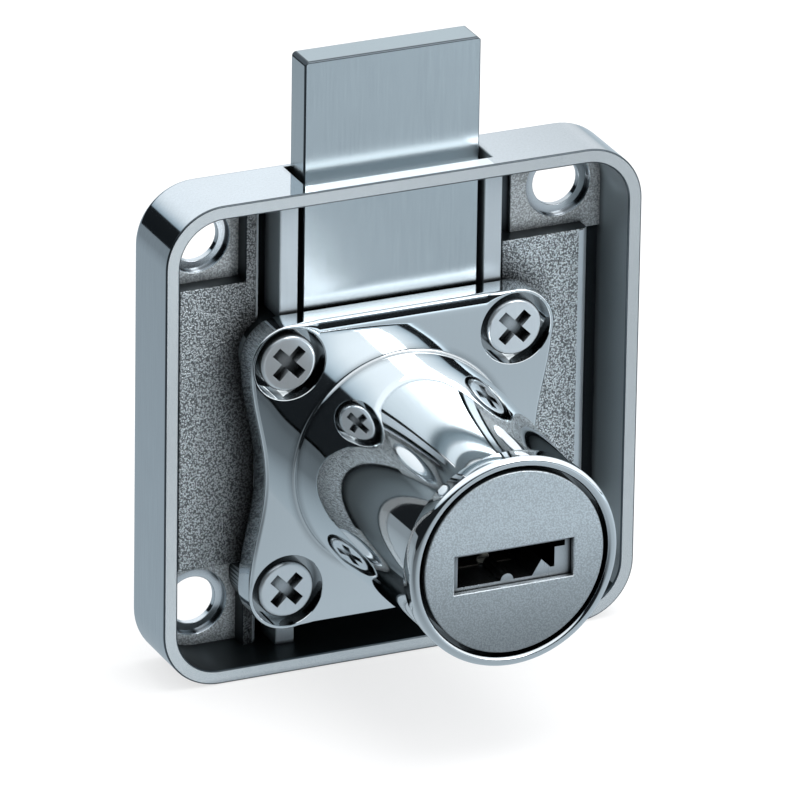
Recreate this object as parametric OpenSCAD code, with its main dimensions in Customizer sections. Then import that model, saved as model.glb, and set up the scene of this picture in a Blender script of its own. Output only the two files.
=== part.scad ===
// Desk drawer lock: a square cast housing, a sliding bolt and a screwed-on key barrel.
// The origin is on the barrel's axis, in the plane of the housing's front rim.
// X runs to the right seen from the key side, Y runs to the back, Z runs along the bolt.

/* [Housing] */
// Width of the housing
plate_w = 42; // [40:1:54]
// Height of the housing
plate_h = 42; // [41:1:54]
// Radius of the housing's four corners
corner_r = 5; // [4:0.5:6]
// Thickness of the housing's side walls
wall_t = 1.2; // [1:0.1:1.6]
// Thickness of the housing's floor
floor_t = 1.1; // [0.9:0.1:2]
// Rounding of the housing's back edge
back_edge_r = 0.9; // [0.4:0.1:0.9]
// Distance from the housing's centre down to the barrel's axis
axis_drop = 3.8; // [2:0.1:4]
// Thickness of the two rails beside the bolt
rail_t = 1.65; // [1:0.05:2]
// Width of the gutter between the left rail and the cast plateau
left_gutter_w = 1.25; // [0.8:0.05:1.6]
// Width of the gutter between the right rail and the cast plateau
right_gutter_w = 0.5; // [0.3:0.05:1.4]
// Width of the gutters along the side walls
wall_gutter_w = 1.7; // [1:0.1:2]
// Height of the cast plateaus above the floor
plateau_rise = 1.95; // [1.2:0.05:2.4]
// Chamfer along the plateaus' right edges
plateau_chamfer = 0.35; // [0.1:0.05:0.6]
// Height of the four corner pads above the floor
pad_rise = 0.4; // [0.2:0.1:0.8]
// Side of each square corner pad, from the wall inwards
pad_w = 7.45; // [6.6:0.05:7.6]

/* [Mounting holes] */
// Distance between the mounting holes, the same both ways
mount_pitch = 32; // [30:0.5:32.5]
// Diameter of the mounting holes
mount_hole_d = 4.1; // [3:0.1:4.4]
// Diameter of the shallow ring round each mounting hole
mount_ring_d = 5.7; // [5:0.1:6.4]
// Depth of the shallow ring round each mounting hole
mount_ring_depth = 0.5; // [0.2:0.05:0.6]
// Depth of the countersinks on the housing's back
mount_sink_depth = 0.4; // [0.2:0.05:0.4]

/* [Bolt] */
// Width of the bolt
bolt_w = 15.5; // [15:0.1:17]
// Thickness of the bolt
bolt_t = 2.8; // [2.4:0.1:4]
// Chamfer along the bolt's long edges
bolt_chamfer = 0.1; // [0.1:0.05:0.5]
// Cut across the bolt's two upper corners
bolt_corner_cut = 0.3; // [0.2:0.1:1.5]
// Gap between the bolt and each rail
bolt_side_gap = 0.45; // [0.2:0.05:0.6]
// Gap in front of and behind the bolt
bolt_face_gap = 0.1; // [0.05:0.05:0.2]
// Gap in front of the bolt where it leaves the housing
bolt_mouth_gap = 1.5; // [0.2:0.1:1.7]
// Space left under the bolt when it is drawn in
bolt_tail_gap = 1; // [0.5:0.1:2]

/* [Barrel] */
// Length of the barrel in front of the rim's plane
barrel_len = 22; // [21:0.5:30]
// Diameter of the barrel's straight root
spigot_d = 19; // [18.8:0.1:22]
// Length of the barrel's straight root in front of the rim's plane
spigot_len = 3.2; // [2:0.1:6]
// Thickness of the collar round the key face
collar_wall = 0.85; // [0.8:0.05:1.2]
// Step from the collar down to the barrel's tapered nose
nose_step = 0.25; // [0.05:0.05:0.3]
// Length of the collar
collar_len = 1.7; // [1:0.1:3]
// Rounding of the collar's front edge
collar_edge_r = 0.45; // [0.2:0.05:0.45]

/* [Flange] */
// Thickness of the flange
flange_t = 2.7; // [2.4:0.1:4]
// Depth of the flange's face behind the rim's plane
flange_sink = 0.2; // [0:0.1:0.6]
// Distance between the flange screws, the same both ways
screw_pitch = 20; // [19.8:0.1:21]
// Radius of the lobe round each flange screw
lobe_r = 3.4; // [3.2:0.1:3.6]
// How far the flange's sides draw in between the lobes
waist_depth = 1.35; // [0.2:0.05:1.6]

/* [Flange screws] */
// Diameter of the screws' shanks
screw_d = 2.9; // [2.5:0.1:3]
// Diameter of the screws' heads
screw_head_d = 4.9; // [4.4:0.1:5.1]
// Height of the screws' heads
screw_head_h = 1.35; // [1:0.05:1.4]
// Gap between a screw's head and its pocket
screw_pocket_gap = 0.65; // [0.2:0.05:0.65]
// Depth of a screw's head below the flange's face
screw_head_sink = 0.2; // [0:0.05:0.3]
// Diameter of the posts under the flange screws
post_d = 5.9; // [5:0.1:6.4]

/* [Plug] */
// Diameter of the plug's shank
plug_d = 13; // [12.8:0.1:13.2]
// Diameter of the plug's head
head_d = 15.7; // [15.2:0.1:15.7]
// Length of the plug's head with its face cap
head_len = 2; // [1.6:0.1:3]
// Thickness of the face cap
cap_t = 0.6; // [0.4:0.1:0.8]
// Depth of the key face behind the collar's front
face_sink = 0.15; // [0:0.05:0.4]
// Gap round the plug's head
head_gap = 0.35; // [0.1:0.05:0.35]
// Running clearance of the plug in its bore
plug_clearance = 0.05; // [0.02:0.01:0.1]
// Length of the slot in the face cap
face_slot_w = 10.4; // [9.6:0.1:11]
// Height of the slot in the face cap
face_slot_h = 3.3; // [2.8:0.1:3.6]
// Distance of the key slot and the keyway below the plug's axis
slot_drop = 0.4; // [0:0.1:0.5]
// Width of the keyway
keyway_w = 9.4; // [8.8:0.1:9.6]
// Height of the keyway
keyway_h = 2.7; // [2.2:0.1:2.8]
// Radius of the keyway's round ward
round_ward_r = 0.55; // [0.3:0.05:0.7]
// Distance of the round ward to the left of the plug's axis
round_ward_off = 0.35; // [0:0.05:0.8]
// Distance of the pointed ward to the right of the plug's axis
point_ward_off = 2.65; // [2:0.05:3]
// Width of the pointed ward
point_ward_w = 1.6; // [1:0.05:2]
// Height of the pointed ward
point_ward_h = 1.3; // [0.6:0.05:1.6]
// Height of the step from the pointed ward to the keyway's end
step_ward_h = 0.5; // [0.3:0.05:0.8]
// Width of the block at the keyway's end
end_ward_w = 0.9; // [0.4:0.05:1.2]

/* [Drive] */
// Radius at which the drive pin circles, which is half of the bolt's travel
crank_r = 5; // [4:0.1:5.2]
// Diameter of the drive pin
drive_pin_d = 2.4; // [2:0.1:2.4]
// Clearance round the drive pin
drive_pin_clearance = 0.2; // [0.1:0.05:0.3]

/* [Wafers] */
// Thickness of each wafer
wafer_t = 1; // [0.7:0.05:1.1]
// Height of each wafer
wafer_h = 5.8; // [5:0.1:6]
// Distance from one wafer to the next
wafer_pitch = 2.4; // [2.2:0.05:2.5]
// Distance from the key face to the first wafer
wafer_start = 4.7; // [4.4:0.1:5.5]
// Travel of a wafer into the barrel's groove
wafer_travel = 0.8; // [0.4:0.1:0.9]
// Clearance round each wafer
wafer_clearance = 0.05; // [0.03:0.01:0.08]
// Length of the window through each wafer
window_w = 8.2; // [7.6:0.1:8.6]
// Height of the window through each wafer
window_h = 2.6; // [2.2:0.1:2.9]
// Outer diameter of the wafer springs
spring_d = 1.4; // [1.1:0.05:1.5]
// Wire diameter of the wafer springs
spring_wire_d = 0.28; // [0.2:0.02:0.34]
// Length of the wafer springs
spring_len = 3.6; // [3:0.1:3.8]

/* [Retainer] */
// Thickness of the retaining ring
ring_t = 0.8; // [0.6:0.05:1]
// How far the retaining ring stands out round the plug
ring_reach = 1; // [0.8:0.05:1.2]
// Depth of the retaining ring's groove in the plug
ring_groove_depth = 0.8; // [0.5:0.05:0.9]
// Thickness of the thrust washer
washer_t = 0.4; // [0.3:0.05:0.5]
// How far the thrust washer stands out round the plug
washer_reach = 1.3; // [0.8:0.05:1.3]
// Play of the retaining ring and of the thrust washer
ring_play = 0.04; // [0.02:0.01:0.06]

/* [Hidden] */
$fn = 72;

CHROME = [0.64, 0.70, 0.74];
SATIN_CHROME = [0.56, 0.62, 0.66];
SCREW_STEEL = [0.60, 0.65, 0.69];
BRASS = [0.72, 0.60, 0.33];
SPRING_STEEL = [0.45, 0.46, 0.48];

// A cut reaches this far past the faces that it opens.
past = 1;

// Depths behind the rim's plane, from the flange down to the back.
seat_y = flange_sink + flange_t;
bolt_y = seat_y + bolt_face_gap;
floor_y = bolt_y + bolt_t + bolt_face_gap;
back_y = floor_y + floor_t;
pad_y = floor_y - pad_rise;
plateau_y = floor_y - plateau_rise;

// Inner faces of the housing, seen from its centre.
inner_x = plate_w / 2 - wall_t;
inner_z = plate_h / 2 - wall_t;
inner_r = corner_r - wall_t;
rail_in = bolt_w / 2 + bolt_side_gap;
rail_out = rail_in + rail_t;
plateau_out = inner_x - wall_gutter_w;

// The pin circles at crank_r, and the bolt moves two crank radii in half a turn at a steady
// rate. The pin strays from that rate by pin_sway, most at lead_angle.
throw = 2 * crank_r;
lead_angle = asin(2 / PI);
pin_sway = crank_r * (cos(lead_angle) - 1 + lead_angle / 90);
drive_slot_w = 2 * (crank_r + drive_pin_clearance) + drive_pin_d;
drive_slot_h = 2 * (pin_sway + drive_pin_clearance) + drive_pin_d;
drive_slot_r = 1.5;

bolt_top = axis_drop + plate_h / 2 + throw;
bolt_bottom = axis_drop - inner_z + bolt_tail_gap + throw;

flange_half = screw_pitch / 2 + lobe_r;
screw_pocket_r = screw_head_d / 2 + screw_pocket_gap;
screw_seat_y = flange_sink + screw_head_sink + screw_head_h;
screw_clearance = 0.05;
screw_tip_gap = 0.2;
screw_floor_web = 0.7;
screw_tip_y = back_y - screw_floor_web - screw_tip_gap;

lip_y = -barrel_len;
face_y = lip_y + face_sink;
head_y = face_y + head_len;
axial_play = 0.05;
bore_r = plug_d / 2 + plug_clearance;
head_bore_r = head_d / 2 + head_gap;
collar_r = head_bore_r + collar_wall;
nose_r = collar_r - nose_step;
plug_end_y = seat_y - 0.15;

ring_d = plug_d + 2 * ring_reach;
washer_d = plug_d + 2 * washer_reach;
ring_end_web = 0.55;
ring_groove_y = plug_end_y - ring_end_web - ring_t - 2 * ring_play;
washer_y = ring_groove_y + ring_play - washer_t - ring_play;
ring_pocket_y = washer_y - axial_play;
ring_pocket_r = max(ring_d, washer_d) / 2 + 0.3;
ring_in_r = plug_d / 2 - ring_groove_depth;

// Each wafer's window is set off sideways by its step of the key's cuts.
CUTS = [1, -1, 2, 0, -2, 1];
wafers = len(CUTS);
cut_step = 0.22;
wafer_slot_t = wafer_t + 2 * wafer_clearance;
wafer_slot_h = wafer_h + 2 * wafer_clearance;
lug_x = 0.25;
lug_w = 1.1;
lug_h = 1.35;
spring_pocket_r = spring_d / 2 + 0.06;
spring_z = wafer_h / 2 + spring_d / 2 + 0.08;
keyway_end_y = face_y + wafer_start + (wafers - 0.5) * wafer_pitch;

function wafer_y(k) = face_y + wafer_start + (k - 1) * wafer_pitch;
function wafer_side(k) = k % 2 == 1 ? 1 : -1;

// Extrudes an outline drawn in X and Z from depth y0 to depth y1.
module slab(y0, y1) {
    translate([0, y1, 0]) rotate([90, 0, 0]) linear_extrude(y1 - y0) children();
}

// Turns a profile of radius and depth round the barrel's axis.
module turned() {
    rotate([-90, 0, 0]) rotate_extrude() children();
}

module rounded_plate(w, h, r) {
    square([w - 2 * r, h], center = true);
    square([w, h - 2 * r], center = true);
    for (x = [-1, 1], z = [-1, 1]) translate([x * (w / 2 - r), z * (h / 2 - r)]) circle(r);
}

module at_corners(pitch) {
    for (x = [-1, 1], z = [-1, 1]) translate([x * pitch / 2, 0, z * pitch / 2]) children();
}

// Section of the housing's outside, with its two back edges rounded.
module shell_section(w) {
    translate([-w / 2, 0]) square([w, back_y - back_edge_r]);
    translate([-w / 2 + back_edge_r, 0]) square([w - 2 * back_edge_r, back_y]);
    for (s = [-1, 1]) translate([s * (w / 2 - back_edge_r), back_y - back_edge_r]) circle(back_edge_r);
}

// Quarter-round corner of the housing's outside, with the same rounded back edge.
module shell_corner() {
    turned() {
        square([corner_r, back_y - back_edge_r]);
        square([corner_r - back_edge_r, back_y]);
        intersection() {
            translate([corner_r - back_edge_r, back_y - back_edge_r]) circle(back_edge_r);
            square([corner_r, back_y]);
        }
    }
}

module shell() {
    translate([0, 0, -plate_h / 2 + corner_r]) linear_extrude(plate_h - 2 * corner_r) shell_section(plate_w);
    translate([-plate_w / 2 + corner_r, 0, 0]) rotate([0, 90, 0])
        linear_extrude(plate_w - 2 * corner_r) shell_section(plate_h);
    for (x = [-1, 1], z = [-1, 1])
        translate([x * (plate_w / 2 - corner_r), 0, z * (plate_h / 2 - corner_r)]) shell_corner();
}

// Section of one cast plateau, from its left edge to its right edge.
module plateau_section(x0, x1) {
    polygon([
        [x0, floor_y + floor_t / 2], [x0, plateau_y], [x1 - plateau_chamfer, plateau_y],
        [x1, plateau_y + plateau_chamfer], [x1, floor_y + floor_t / 2],
    ]);
}

// The two cast plateaus. The left one is cut back for its corner pads, the right one at both
// ends over its whole width, so that a strip of the floor shows beside each pad.
module plateaus() {
    difference() {
        translate([0, 0, -inner_z - wall_t / 2]) linear_extrude(2 * inner_z + wall_t) {
            plateau_section(-plateau_out, -rail_out - left_gutter_w);
            plateau_section(rail_out + right_gutter_w, plateau_out);
        }
        for (x = [-1, 1], z = [-1, 1]) {
            cut_x = x < 0 ? inner_x - pad_w : rail_out;
            translate([x < 0 ? -inner_x - past : cut_x, 0, z < 0 ? -inner_z - past : inner_z - pad_w])
                cube([inner_x + past - cut_x, floor_y, pad_w + past]);
        }
    }
}

module housing() {
    pad_mid_x = inner_x - pad_w / 2;
    pad_mid_z = inner_z - pad_w / 2;
    color(CHROME) difference() {
        union() {
            // The tray, hollowed from the front down to its floor.
            translate([0, 0, axis_drop]) {
                difference() {
                    shell();
                    slab(-past, floor_y) rounded_plate(2 * inner_x, 2 * inner_z, inner_r);
                }
                intersection() {
                    union() {
                        plateaus();
                        for (x = [-1, 1], z = [-1, 1])
                            translate([x * pad_mid_x, (pad_y + back_y - floor_t / 2) / 2, z * pad_mid_z])
                                cube([pad_w + wall_t, back_y - floor_t / 2 - pad_y, pad_w + wall_t], center = true);
                        // The rails run from wall to wall and carry the flange.
                        for (s = [-1, 1]) translate([s * (rail_in + rail_t / 2), (seat_y + floor_y + floor_t / 2) / 2, 0])
                            cube([rail_t, floor_y + floor_t / 2 - seat_y, 2 * inner_z + wall_t], center = true);
                    }
                    slab(0, back_y - floor_t / 4) rounded_plate(2 * inner_x + wall_t, 2 * inner_z + wall_t, inner_r + wall_t / 2);
                }
            }
            at_corners(screw_pitch) slab(seat_y, floor_y + floor_t / 2) circle(post_d / 2);
        }
        // The bolt's channel, and its mouth through the upper wall.
        translate([-rail_in, seat_y - past, axis_drop - inner_z])
            cube([2 * rail_in, floor_y - seat_y + past, 2 * inner_z]);
        translate([-rail_in, bolt_y - bolt_mouth_gap, axis_drop])
            cube([2 * rail_in, floor_y - bolt_y + bolt_mouth_gap, plate_h / 2 + past]);
        at_corners(screw_pitch) slab(seat_y - past, screw_tip_y + screw_tip_gap) circle(screw_d / 2 + screw_clearance);
        translate([0, 0, axis_drop]) at_corners(mount_pitch) {
            slab(pad_y - past, back_y + past) circle(mount_hole_d / 2);
            slab(pad_y - past, pad_y + mount_ring_depth) circle(mount_ring_d / 2);
            turned() polygon([
                [0, back_y - mount_sink_depth], [mount_hole_d / 2, back_y - mount_sink_depth],
                [mount_hole_d / 2 + 2 * mount_sink_depth, back_y], [mount_hole_d / 2 + 2 * mount_sink_depth, back_y + past],
                [0, back_y + past],
            ]);
        }
    }
}

// Section of a plate as thick as the bolt and w wide, with its four edges chamfered.
module bolt_section(w) {
    c = bolt_chamfer;
    y1 = bolt_y + bolt_t;
    polygon([
        [-w / 2, bolt_y + c], [-w / 2 + c, bolt_y], [w / 2 - c, bolt_y], [w / 2, bolt_y + c],
        [w / 2, y1 - c], [w / 2 - c, y1], [-w / 2 + c, y1], [-w / 2, y1 - c],
    ]);
}

module bolt_outline() {
    w = bolt_w / 2;
    polygon([
        [-w, bolt_bottom], [w, bolt_bottom], [w, bolt_top - bolt_corner_cut], [w - bolt_corner_cut, bolt_top],
        [-w + bolt_corner_cut, bolt_top], [-w, bolt_top - bolt_corner_cut],
    ]);
}

module bolt() {
    bolt_len = bolt_top - bolt_bottom;
    color(CHROME) difference() {
        // The outline, chamfered along its sides by one section and along its ends by the other.
        intersection() {
            slab(bolt_y, bolt_y + bolt_t) bolt_outline();
            translate([0, 0, bolt_bottom]) linear_extrude(bolt_len) bolt_section(bolt_w);
            translate([-bolt_w / 2, 0, bolt_bottom + bolt_len / 2]) rotate([0, 90, 0])
                linear_extrude(bolt_w) bolt_section(bolt_len);
        }
        // The drive pin works in this cross slot.
        translate([0, 0, crank_r]) slab(bolt_y - past, bolt_y + bolt_t + past)
            rounded_plate(drive_slot_w, drive_slot_h, drive_slot_r);
    }
}

// Outline of the flange: four lobes, straight ends and sides that draw in by a smooth wave.
module flange_outline() {
    half = screw_pitch / 2;
    steps = 20;
    side = [for (i = [0:steps]) let (z = half * (2 * i / steps - 1))
        [flange_half - waist_depth * (1 + cos(180 * z / half)) / 2, z]];
    polygon(concat(side, [for (i = [steps:-1:0]) [-side[i][0], side[i][1]]]));
    square([screw_pitch, 2 * flange_half], center = true);
    for (x = [-1, 1], z = [-1, 1]) translate([x * half, z * half]) circle(lobe_r);
}

// Profile of the barrel's outside, from the flange's face to the rounded lip.
module barrel_profile() {
    edge = lip_y + collar_edge_r;
    polygon(concat(
        [[0, seat_y - flange_t / 2], [spigot_d / 2, seat_y - flange_t / 2], [spigot_d / 2, -spigot_len]],
        [[nose_r, lip_y + collar_len + 0.2], [collar_r, lip_y + collar_len]],
        [for (a = [0:15:90]) [collar_r - collar_edge_r + collar_edge_r * cos(a), edge - collar_edge_r * sin(a)]],
        [[0, lip_y]]
    ));
}

module barrel() {
    groove_y0 = wafer_y(1) - wafer_slot_t / 2;
    groove_y1 = wafer_y(wafers) + wafer_slot_t / 2;
    groove_x = plug_d / 2 + wafer_travel + 0.25;
    color(CHROME) difference() {
        union() {
            slab(flange_sink, seat_y) flange_outline();
            turned() barrel_profile();
        }
        slab(lip_y - past, seat_y + past) circle(bore_r);
        slab(lip_y - past, head_y + axial_play) circle(head_bore_r);
        slab(ring_pocket_y, seat_y + past) circle(ring_pocket_r);
        // The wafers spring into these two grooves and lock the plug.
        for (s = [-1, 1]) translate([s * groove_x / 2, (groove_y0 + groove_y1) / 2, 0])
            cube([groove_x, groove_y1 - groove_y0, wafer_slot_h + 0.1], center = true);
        at_corners(screw_pitch) {
            slab(flange_sink - past, seat_y + past) circle(screw_d / 2 + 4 * screw_clearance);
            slab(flange_sink - past, screw_seat_y) circle(screw_pocket_r);
        }
    }
}

module flange_screw() {
    r = screw_head_d / 2;
    top = screw_seat_y - screw_head_h;
    edge = 0.35;
    difference() {
        union() {
            turned() polygon(concat(
                [[0, screw_seat_y], [r, screw_seat_y]],
                [for (a = [0:15:90]) [r - edge + edge * cos(a), top + edge - edge * sin(a)]],
                [[0, top]]
            ));
            slab(screw_seat_y - 0.1, screw_tip_y) circle(screw_d / 2);
        }
        // The cross recess of the driver.
        for (a = [45, 135]) translate([0, top, 0]) rotate([0, a, 0]) cube([3.2, 1.8, 0.9], center = true);
    }
}

module flange_screws() {
    color(SCREW_STEEL) at_corners(screw_pitch) flange_screw();
}

// Keyway in X and Z: a slot with a round ward, a pointed ward and a stepped end.
module keyway_outline() {
    z0 = -keyway_h / 2;
    x1 = keyway_w / 2;
    difference() {
        square([keyway_w, keyway_h], center = true);
        translate([-round_ward_off, z0]) circle(round_ward_r, $fn = 32);
        polygon([
            [point_ward_off - point_ward_w / 2, z0], [point_ward_off, z0 + point_ward_h],
            [point_ward_off + point_ward_w / 2, z0 + step_ward_h], [x1, z0 + step_ward_h], [x1, z0],
        ]);
        translate([x1 - end_ward_w, z0 + step_ward_h]) square([end_ward_w + past, keyway_h - 2 * step_ward_h]);
    }
}

// Cut for one wafer and its spring, drawn for a wafer that springs out to +X.
module wafer_cut() {
    cube([plug_d + past, wafer_slot_t, wafer_slot_h], center = true);
    translate([0, 0, wafer_slot_h / 2])
        cube([2 * (lug_x + lug_w + wafer_travel + wafer_clearance), wafer_slot_t, 2 * (lug_h + wafer_clearance)], center = true);
    translate([lug_x - spring_len - 0.05, 0, spring_z]) rotate([0, 90, 0])
        cylinder(r = spring_pocket_r, h = spring_len + 0.05, $fn = 32);
}

module plug() {
    color(CHROME) difference() {
        union() {
            turned() {
                polygon([
                    [0, face_y + cap_t], [head_d / 2, face_y + cap_t], [head_d / 2, head_y],
                    [plug_d / 2, head_y], [plug_d / 2, ring_groove_y], [ring_in_r, ring_groove_y],
                    [ring_in_r, plug_end_y - ring_end_web], [plug_d / 2, plug_end_y - ring_end_web],
                    [plug_d / 2, plug_end_y], [0, plug_end_y],
                ]);
            }
            // The drive pin stands on the plug's tail and reaches through the bolt.
            translate([0, 0, crank_r]) slab(plug_end_y - 0.5, bolt_y + bolt_t - bolt_face_gap) circle(drive_pin_d / 2);
        }
        slab(face_y - past, keyway_end_y) translate([0, -slot_drop]) keyway_outline();
        for (k = [1:wafers]) translate([0, wafer_y(k), 0]) rotate([0, wafer_side(k) > 0 ? 0 : 180, 0]) wafer_cut();
    }
}

module face_cap() {
    color(SATIN_CHROME) slab(face_y, face_y + cap_t) difference() {
        circle(head_d / 2);
        translate([0, -slot_drop]) square([face_slot_w, face_slot_h], center = true);
    }
}

module thrust_washer() {
    color(BRASS) slab(washer_y, washer_y + washer_t) difference() {
        circle(washer_d / 2);
        circle(plug_d / 2 + plug_clearance);
    }
}

// Open spring ring with an ear on each side of its gap.
module retaining_ring() {
    ear_at = (ring_d / 2 + ring_in_r) / 2;
    ear_hole_r = (ring_d / 2 - ring_in_r) * 0.22;
    color(SPRING_STEEL) slab(ring_groove_y + ring_play, ring_groove_y + ring_play + ring_t) difference() {
        circle(ring_d / 2);
        circle(ring_in_r + ring_play);
        polygon([[0, 0], [-0.62 * ring_d, -ring_d], [0.62 * ring_d, -ring_d]]);
        for (s = [-1, 1]) rotate(s * 40 - 90) translate([ear_at, 0]) circle(ear_hole_r, $fn = 24);
    }
}

// One wafer, drawn for a wafer that springs out to +X: a plate that ends flush with the plug,
// with the key's window and a lug that the spring pushes on.
module wafer(k) {
    translate([0, wafer_y(k), 0]) rotate([0, wafer_side(k) > 0 ? 0 : 180, 0])
        slab(-wafer_t / 2, wafer_t / 2) difference() {
            union() {
                intersection() {
                    circle(plug_d / 2 - wafer_clearance);
                    square([plug_d, wafer_h], center = true);
                }
                translate([lug_x, 0]) square([lug_w, wafer_h / 2 + lug_h]);
            }
            translate([CUTS[k - 1] * cut_step, -wafer_side(k) * slot_drop]) square([window_w, window_h], center = true);
        }
}

// Ring number i of a coil's wire: the wire's section carried along the helix.
function coil_ring(i, rings, turns, r, wire_r, len, sides) =
    let (
        a = 360 * turns * i / (rings - 1),
        x = wire_r + (len - 2 * wire_r) * i / (rings - 1),
        out = [0, cos(a), sin(a)]
    )
    [for (j = [0:sides - 1]) let (b = 360 * j / sides)
        [x, 0, 0] + (r + wire_r * cos(b)) * out + [wire_r * sin(b), 0, 0]];

// Coil spring along X from x = 0, as one closed tube.
module coil(d, wire_d, len) {
    turns = 5;
    sides = 6;
    rings = 8 * turns + 1;
    rows = [for (i = [0:rings - 1]) coil_ring(i, rings, turns, (d - wire_d) / 2, wire_d / 2, len, sides)];
    points = [for (row = rows, p = row) p];
    walls = [for (i = [0:rings - 2], j = [0:sides - 1])
        let (a = i * sides + j, b = i * sides + (j + 1) % sides) each [[a, a + sides, b], [b, a + sides, b + sides]]];
    ends = [for (j = [1:sides - 2]) each [[0, j, j + 1], [(rings - 1) * sides, (rings - 1) * sides + j + 1, (rings - 1) * sides + j]]];
    polyhedron(points, concat(walls, ends));
}

module wafer_spring(k) {
    color(SPRING_STEEL) translate([0, wafer_y(k), 0]) rotate([0, wafer_side(k) > 0 ? 0 : 180, 0])
        translate([lug_x - spring_len, 0, spring_z]) coil(spring_d, spring_wire_d, spring_len - 0.02);
}

housing();
bolt();
barrel();
flange_screws();
plug();
face_cap();
thrust_washer();
retaining_ring();
color(BRASS) wafer(1);  // wafer_1
color(BRASS) wafer(2);  // wafer_2
color(BRASS) wafer(3);  // wafer_3
color(BRASS) wafer(4);  // wafer_4
color(BRASS) wafer(5);  // wafer_5
color(BRASS) wafer(6);  // wafer_6
wafer_spring(1);  // wafer_spring_1
wafer_spring(2);  // wafer_spring_2
wafer_spring(3);  // wafer_spring_3
wafer_spring(4);  // wafer_spring_4
wafer_spring(5);  // wafer_spring_5
wafer_spring(6);  // wafer_spring_6
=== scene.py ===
import math
import bmesh
import bpy
from mathutils import Matrix, Vector


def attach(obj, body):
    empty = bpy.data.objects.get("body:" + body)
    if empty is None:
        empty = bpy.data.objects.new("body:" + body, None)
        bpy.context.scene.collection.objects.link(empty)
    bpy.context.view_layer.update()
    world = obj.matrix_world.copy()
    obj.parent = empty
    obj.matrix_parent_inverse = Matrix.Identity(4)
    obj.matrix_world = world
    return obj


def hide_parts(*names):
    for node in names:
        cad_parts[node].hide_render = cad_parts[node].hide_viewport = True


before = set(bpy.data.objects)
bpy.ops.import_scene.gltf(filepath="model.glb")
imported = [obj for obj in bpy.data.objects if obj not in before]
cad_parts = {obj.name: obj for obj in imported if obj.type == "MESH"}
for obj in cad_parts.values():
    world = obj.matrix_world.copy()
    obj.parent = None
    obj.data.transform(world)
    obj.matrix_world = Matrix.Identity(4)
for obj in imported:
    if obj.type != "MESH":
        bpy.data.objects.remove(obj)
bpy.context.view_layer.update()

mm = 0.001

cameraSet = {
    "place": (-0.35536, -0.78322, 0.37499),   # metres, from the barrel's axis in the rim's plane
    "turn": 24.3847,                          # degrees to the left of straight on
    "rise": 23.2573,                          # degrees above level
    "roll": 0.8809,
    "lens": 519.47, "sensor": 36,             # mm
    "clip": (0.05, 20),                       # metres
}


def makeCamera(s):
    a, e, r = (math.radians(s[k]) for k in ("turn", "rise", "roll"))
    back = Vector((-math.sin(a) * math.cos(e), -math.cos(a) * math.cos(e), math.sin(e)))
    right = Vector((math.cos(a), -math.sin(a), 0.0))
    up = back.cross(right)
    xAxis = math.cos(r) * right + math.sin(r) * up
    yAxis = -math.sin(r) * right + math.cos(r) * up
    data = bpy.data.cameras.new("camera")
    data.lens = s["lens"]
    data.sensor_width = s["sensor"]
    data.clip_start, data.clip_end = s["clip"]
    cam = bpy.data.objects.new("camera", data)
    m = Matrix((xAxis, yAxis, back)).transposed().to_4x4()
    m.translation = s["place"]
    cam.matrix_world = m
    bpy.context.scene.collection.objects.link(cam)
    bpy.context.scene.camera = cam
    print("camera placed")


makeCamera(cameraSet)


def newNode(tree, kind, **values):
    n = tree.nodes.new(kind)
    for k, v in values.items():
        setattr(n, k, v)
    return n


def feed(tree, sock, v):
    # a socket takes a fixed value or what another node puts out
    if isinstance(v, bpy.types.NodeSocket):
        tree.links.new(v, sock)
    else:
        sock.default_value = v


def mathNode(tree, op, *values, clamp=False):
    n = newNode(tree, "ShaderNodeMath", operation=op, use_clamp=clamp)
    for sock, v in zip(n.inputs, values):
        feed(tree, sock, v)
    return n.outputs[0]


def rangeNode(tree, value, start=(0, 1), end=(0, 1)):
    # carries values from one span over to another and stops at its ends
    n = newNode(tree, "ShaderNodeMapRange")
    for label, v in zip(("From Min", "From Max", "To Min", "To Max"), (*start, *end)):
        n.inputs[label].default_value = v
    tree.links.new(value, n.inputs["Value"])
    return n.outputs[0]


def mixNode(tree, share, first, second):
    n = newNode(tree, "ShaderNodeMixShader")
    for sock, v in zip(n.inputs, (share, first, second)):
        feed(tree, sock, v)
    return n.outputs[0]


def colourNode(tree, kind, colour):
    # a plain shader of one colour
    n = newNode(tree, kind)
    feed(tree, n.inputs["Color"], colour)
    return n


def splitNode(tree, vector):
    n = newNode(tree, "ShaderNodeSeparateXYZ")
    tree.links.new(vector, n.inputs[0])
    return n.outputs


def setRamp(ramp, stops):
    e = ramp.color_ramp.elements
    while len(e) > 1:
        e.remove(e[-1])
    e[0].position, e[0].color = stops[0][0], (*stops[0][1], 1)
    for pos, col in stops[1:]:
        e.new(pos).color = (*col, 1)


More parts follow.
